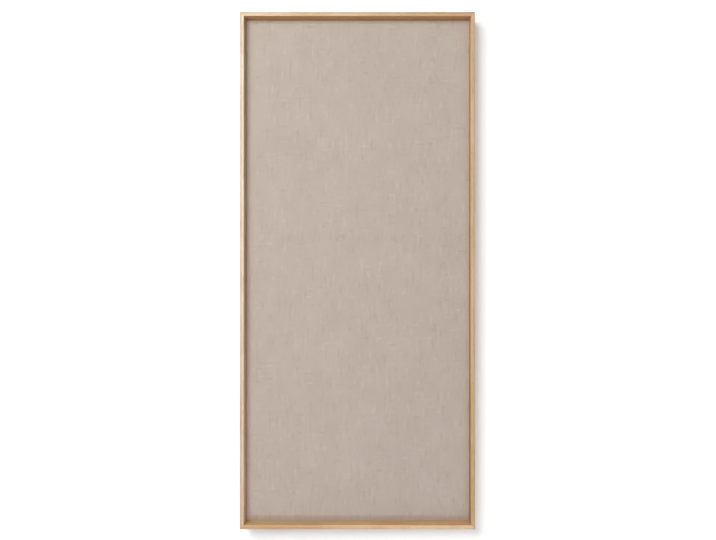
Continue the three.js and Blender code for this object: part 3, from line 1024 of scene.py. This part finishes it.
class PINBOARD_OT_linen(bpy.types.Operator):
    """Makes the linen cover, stretched over the pad and turned in behind it"""

    bl_idname = "pinboard.linen"
    bl_label = "Linen cover"

    def execute(self, context):
        linen = settings().linen
        low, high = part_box("linen_cover")
        half_x, half_z = (high.x - low.x) / 2, (high.z - low.z) / 2
        columns = graded(half_x, linen.edge_radius, linen.soft_edge, linen.cell)
        rows = graded(half_z, linen.edge_radius, linen.soft_edge, linen.cell)
        mesh = self.cloth(linen, low, high, half_x, half_z, columns, rows)
        mesh.materials.append(linen_material())
        cover = new_object("linen_cloth", mesh)
        self.thicken(context, cover, linen.thickness)
        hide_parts("linen_cover")
        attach(cover, "board")
        return {"FINISHED"}

    def cloth(self, linen, low, high, half_x, half_z, columns, rows):
        """The outer skin: the front and its rounded edge, then the sides, then the hem."""
        made = bmesh.new()
        grid = []
        for z in rows:
            line = []
            for x in columns:
                px, pz = rounded_corner(x, z, half_x, half_z, linen.corner_radius)
                inside = from_outline(px, pz, half_x, half_z, linen.corner_radius)
                lift = self.lift(px, pz, half_x, half_z, linen.slack)
                line.append(made.verts.new((px, low.y + padded_fall(inside, linen) - lift, pz)))
            grid.append(line)
        for upper, lower in zip(grid[1:], grid[:-1]):
            for i in range(len(columns) - 1):
                made.faces.new((lower[i], lower[i + 1], upper[i + 1], upper[i]))
        ring = [*grid[0], *[line[-1] for line in grid[1:-1]], *reversed(grid[-1])]
        ring += [line[0] for line in reversed(grid[1:-1])]
        self.turn_in(made, ring, linen, low, high, half_x, half_z)
        bmesh.ops.recalc_face_normals(made, faces=made.faces)
        return smooth_mesh("linen_cloth", made)

    def lift(self, x, z, half_x, half_z, slack):
        """How far the stretched cloth stands off its flat plane, less near the edges."""
        edge = min(half_x - abs(x), half_z - abs(z))
        free = min(1.0, max(0.0, edge / FREE_FROM))
        rise = EVEN_LIFT
        for often, layer, share in WAVES:
            rise += share * noise.noise(Vector((x * often, z * often, layer)))
        return slack * free * rise

    def turn_in(self, made, ring, linen, low, high, half_x, half_z):
        """Adds the sides and the hem below the ring of the front's edge."""
        bend = linen.back_radius
        start = low.y + padded_fall(0, linen)
        sides = np.linspace(start, high.y - bend, SIDE_ROWS + 1)[1:]
        steps = [(0.0, depth) for depth in sides]
        for i in range(1, BEND_ROWS + 1):
            angle = (i / BEND_ROWS) * math.pi / 2
            steps.append((bend * (1 - math.cos(angle)), high.y - bend * (1 - math.sin(angle))))
        steps += [(inset, high.y) for inset in np.linspace(bend, linen.hem, HEM_ROWS + 1)[1:]]
        rim = [(v.co.x, v.co.z) for v in ring]
        before = ring
        for inset, depth in steps:
            now = []
            for x, z in rim:
                place = (x * (1 - inset / half_x), depth, z * (1 - inset / half_z))
                now.append(made.verts.new(place))
            for i in range(len(ring)):
                j = (i + 1) % len(ring)
                made.faces.new((before[i], before[j], now[j], now[i]))
            before = now

    def thicken(self, context, cover, thickness):
        """Gives the cloth its real thickness, inwards."""
        shell = cover.modifiers.new("thickness", "SOLIDIFY")
        shell.thickness = thickness
        shell.offset = -1.0
        shell.use_even_offset = True
        graph = context.evaluated_depsgraph_get()
        solid = bpy.data.meshes.new_from_object(cover.evaluated_get(graph))
        cover.modifiers.clear()
        cover.data = solid


# Carried-over pieces


class PINBOARD_OT_oak_frame(bpy.types.Operator):
    """Finishes the four oak members of the frame"""

    bl_idname = "pinboard.oak_frame"
    bl_label = "Oak frame"

    def execute(self, context):
        for member in MEMBERS:
            dress(member, oak_material(member))
        return {"FINISHED"}


class PINBOARD_OT_boards(bpy.types.Operator):
    """Finishes the pin core and the back panel"""

    bl_idname = "pinboard.boards"
    bl_label = "Pin core and back panel"

    def execute(self, context):
        soft = fibre_material(
            "Soft fibre board",
            pale=linear(190, 160, 118),
            deep=linear(146, 116, 80),
            strand=0.0011,
            roughness=0.85,
            relief=0.0003,
        )
        hard = fibre_material(
            "Hardboard",
            pale=linear(168, 130, 92),
            deep=linear(122, 88, 58),
            strand=0.0007,
            roughness=0.42,
            relief=0.00005,
            clouded=0.4,
            specked=0.5,
        )
        dress("pin_core", soft)
        dress("back_panel", hard)
        return {"FINISHED"}


class PINBOARD_OT_fastenings(bpy.types.Operator):
    """Finishes the staples and the mitre wedges"""

    bl_idname = "pinboard.fastenings"
    bl_label = "Staples and mitre wedges"

    def execute(self, context):
        for start in ("staple_", "mitre_wedge_"):
            for node in nodes_named(start):
                dress(node, bpy.data.materials["Zinc plate"])
        return {"FINISHED"}


# Points closer than this are one point. Faces that turn by less than the first angle are one face,
# edges over the second are rounded, and edges over the third still look sharp after that.
WELD = 1e-7
FLAT_ANGLE = math.radians(1)
ROUNDED_ANGLE = math.radians(35)
CRISP_ANGLE = math.radians(40)


def softened(node, width, material):
    """A copy of a CAD node with its sharp edges rounded, which takes the node's place."""
    made = bmesh.new()
    made.from_mesh(frame["nodes"][node].data)
    bmesh.ops.remove_doubles(made, verts=made.verts, dist=WELD)
    bmesh.ops.dissolve_limit(made, angle_limit=FLAT_ANGLE, verts=made.verts, edges=made.edges)
    whole = [edge for edge in made.edges if edge.is_manifold]
    sharp = [edge for edge in whole if edge.calc_face_angle() > ROUNDED_ANGLE]
    bmesh.ops.bevel(made, geom=sharp, offset=width, segments=2, profile=0.5, affect="EDGES")
    mesh = smooth_mesh(f"{node}_soft", made)
    mesh.set_sharp_from_angle(angle=CRISP_ANGLE)
    mesh.materials.append(material)
    copy = new_object(f"{node}_soft", mesh)
    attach(copy, "board")
    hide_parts(node)


class PINBOARD_OT_hangers(bpy.types.Operator):
    """Makes the straps and the screws of the hangers"""

    bl_idname = "pinboard.hangers"
    bl_label = "Straps and screws"

    def execute(self, context):
        zinc = zinc_material()
        for start in ("hanger_strap_", "hanger_screw_"):
            for node in nodes_named(start):
                softened(node, settings().hanger.soft_edge, zinc)
        return {"FINISHED"}


# How many pieces the wire has over each upper corner, and over each half of the bow.
CORNER_PIECES = 8
BOW_PIECES = 16


class PINBOARD_OT_rings(bpy.types.Operator):
    """Bends the wire of the two D-rings"""

    bl_idname = "pinboard.rings"
    bl_label = "D-rings"

    def execute(self, context):
        hanger = settings().hanger
        for side in SIDES:
            hinge = next(j["pos_m"] for j in frame["joints"] if j["name"] == f"{side}_ring_swing")
            wire = bpy.data.curves.new(f"ring_wire_{side}", "CURVE")
            wire.dimensions = "3D"
            wire.bevel_depth = hanger.wire / 2
            wire.bevel_resolution = 6
            wire.use_fill_caps = True
            line = self.line(hanger)
            spline = wire.splines.new("POLY")
            spline.points.add(len(line) - 1)
            for point, (x, z) in zip(spline.points, line):
                along = Vector((x, -z * math.sin(hanger.lean), z * math.cos(hanger.lean)))
                point.co = (*(Vector(hinge) + along), 1)
            wire.materials.append(bpy.data.materials["Zinc plate"])
            ring = new_object(f"ring_wire_{side}", wire)
            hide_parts(f"hanger_ring_{side}")
            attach(ring, f"{side}_ring")
        return {"FINISHED"}

    def line(self, hanger):
        """The line of the wire round the hinge: a D that hangs from its bar."""
        half, corner = hanger.half_width, hanger.corner
        bow = half - hanger.drop
        right = [(hanger.butt_gap / 2, 0.0)]
        for i in range(CORNER_PIECES + 1):
            angle = math.pi / 2 * (1 - i / CORNER_PIECES)
            x = half - corner + corner * math.cos(angle)
            right.append((x, -corner + corner * math.sin(angle)))
        for i in range(BOW_PIECES + 1):
            angle = -math.pi / 2 * i / BOW_PIECES
            right.append((half * math.cos(angle), bow + half * math.sin(angle)))
        return right + [(-x, z) for x, z in reversed(right[:-1])]


class PINBOARD_OT_felt_pads(bpy.types.Operator):
    """Finishes the felt pads behind the frame"""

    bl_idname = "pinboard.felt_pads"
    bl_label = "Felt pads"

    def execute(self, context):
        felt = fibre_material(
            "Felt",
            pale=linear(226, 222, 213),
            deep=linear(196, 190, 178),
            strand=0.0004,
            roughness=0.95,
            relief=0.0002,
        )
        for node in nodes_named("felt_pad_"):
            softened(node, settings().hanger.soft_edge, felt)
        return {"FINISHED"}


OPERATORS = (
    PINBOARD_OT_stage,
    PINBOARD_OT_oak_frame,
    PINBOARD_OT_linen,
    PINBOARD_OT_boards,
    PINBOARD_OT_hangers,
    PINBOARD_OT_rings,
    PINBOARD_OT_fastenings,
    PINBOARD_OT_felt_pads,
)


class PINBOARD_PT_pieces(bpy.types.Panel):
    """Lists the pieces of the pin board"""

    bl_idname = "PINBOARD_PT_pieces"
    bl_label = "Pin board"
    bl_space_type = "VIEW_3D"
    bl_region_type = "UI"
    bl_category = "Pin board"

    def draw(self, context):
        column = self.layout.column()
        for operator in OPERATORS:
            column.operator(operator.bl_idname)


GROUPS = (OakSettings, LinenSettings, HangerSettings, StageSettings, PinBoardSettings)


def register():
    """Registers every class and the settings."""
    for each in (*GROUPS, *OPERATORS, PINBOARD_PT_pieces):
        bpy.utils.register_class(each)
    bpy.types.Scene.pin_board = bpy.props.PointerProperty(type=PinBoardSettings)


def unregister():
    """Takes the settings and every class away again."""
    del bpy.types.Scene.pin_board
    for each in reversed((*GROUPS, *OPERATORS, PINBOARD_PT_pieces)):
        bpy.utils.unregister_class(each)


def main():
    """Builds the board piece by piece."""
    register()
    make_effects()
    for operator in OPERATORS:
        group, name = operator.bl_idname.split(".")
        getattr(getattr(bpy.ops, group), name)()


if __name__ == "__main__":
    main()
